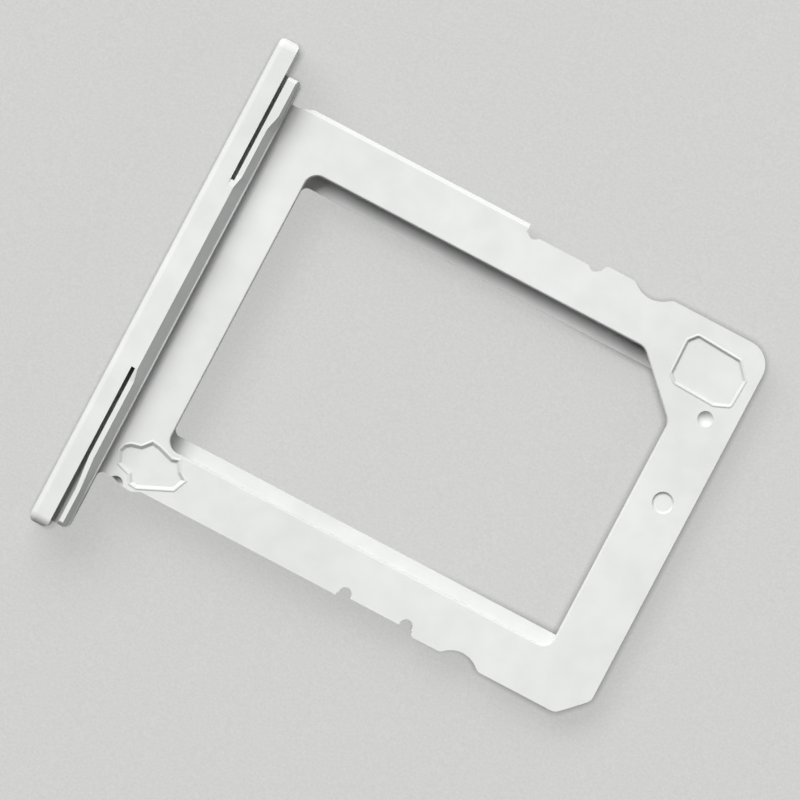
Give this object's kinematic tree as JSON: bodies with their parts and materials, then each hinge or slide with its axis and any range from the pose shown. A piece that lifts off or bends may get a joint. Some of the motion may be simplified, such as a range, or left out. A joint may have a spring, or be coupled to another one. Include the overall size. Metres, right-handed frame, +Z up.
{
  "type": "sim card tray",
  "caption": "One-piece metal sim tray: upright faceplate with round ends and a pin hole, and a flat frame whose stepped, corner-cut window carries a nano card into a phone.",
  "frame": {"origin": "under the middle of the whole tray, level with the faceplate's lower edge", "axes": "+X along the tray from the faceplate to the far bar, +Y across it towards the rail beside the cut corner, +Z up through the open side of the card seat"},
  "size_m": [0.0166, 0.0156, 0.0023],
  "materials": {
    "satin_metal": "satin silver, fine blasted"
  },
  "bodies": {
    "root": {"sim_tray": "satin_metal"}
  },
  "joints": []
}
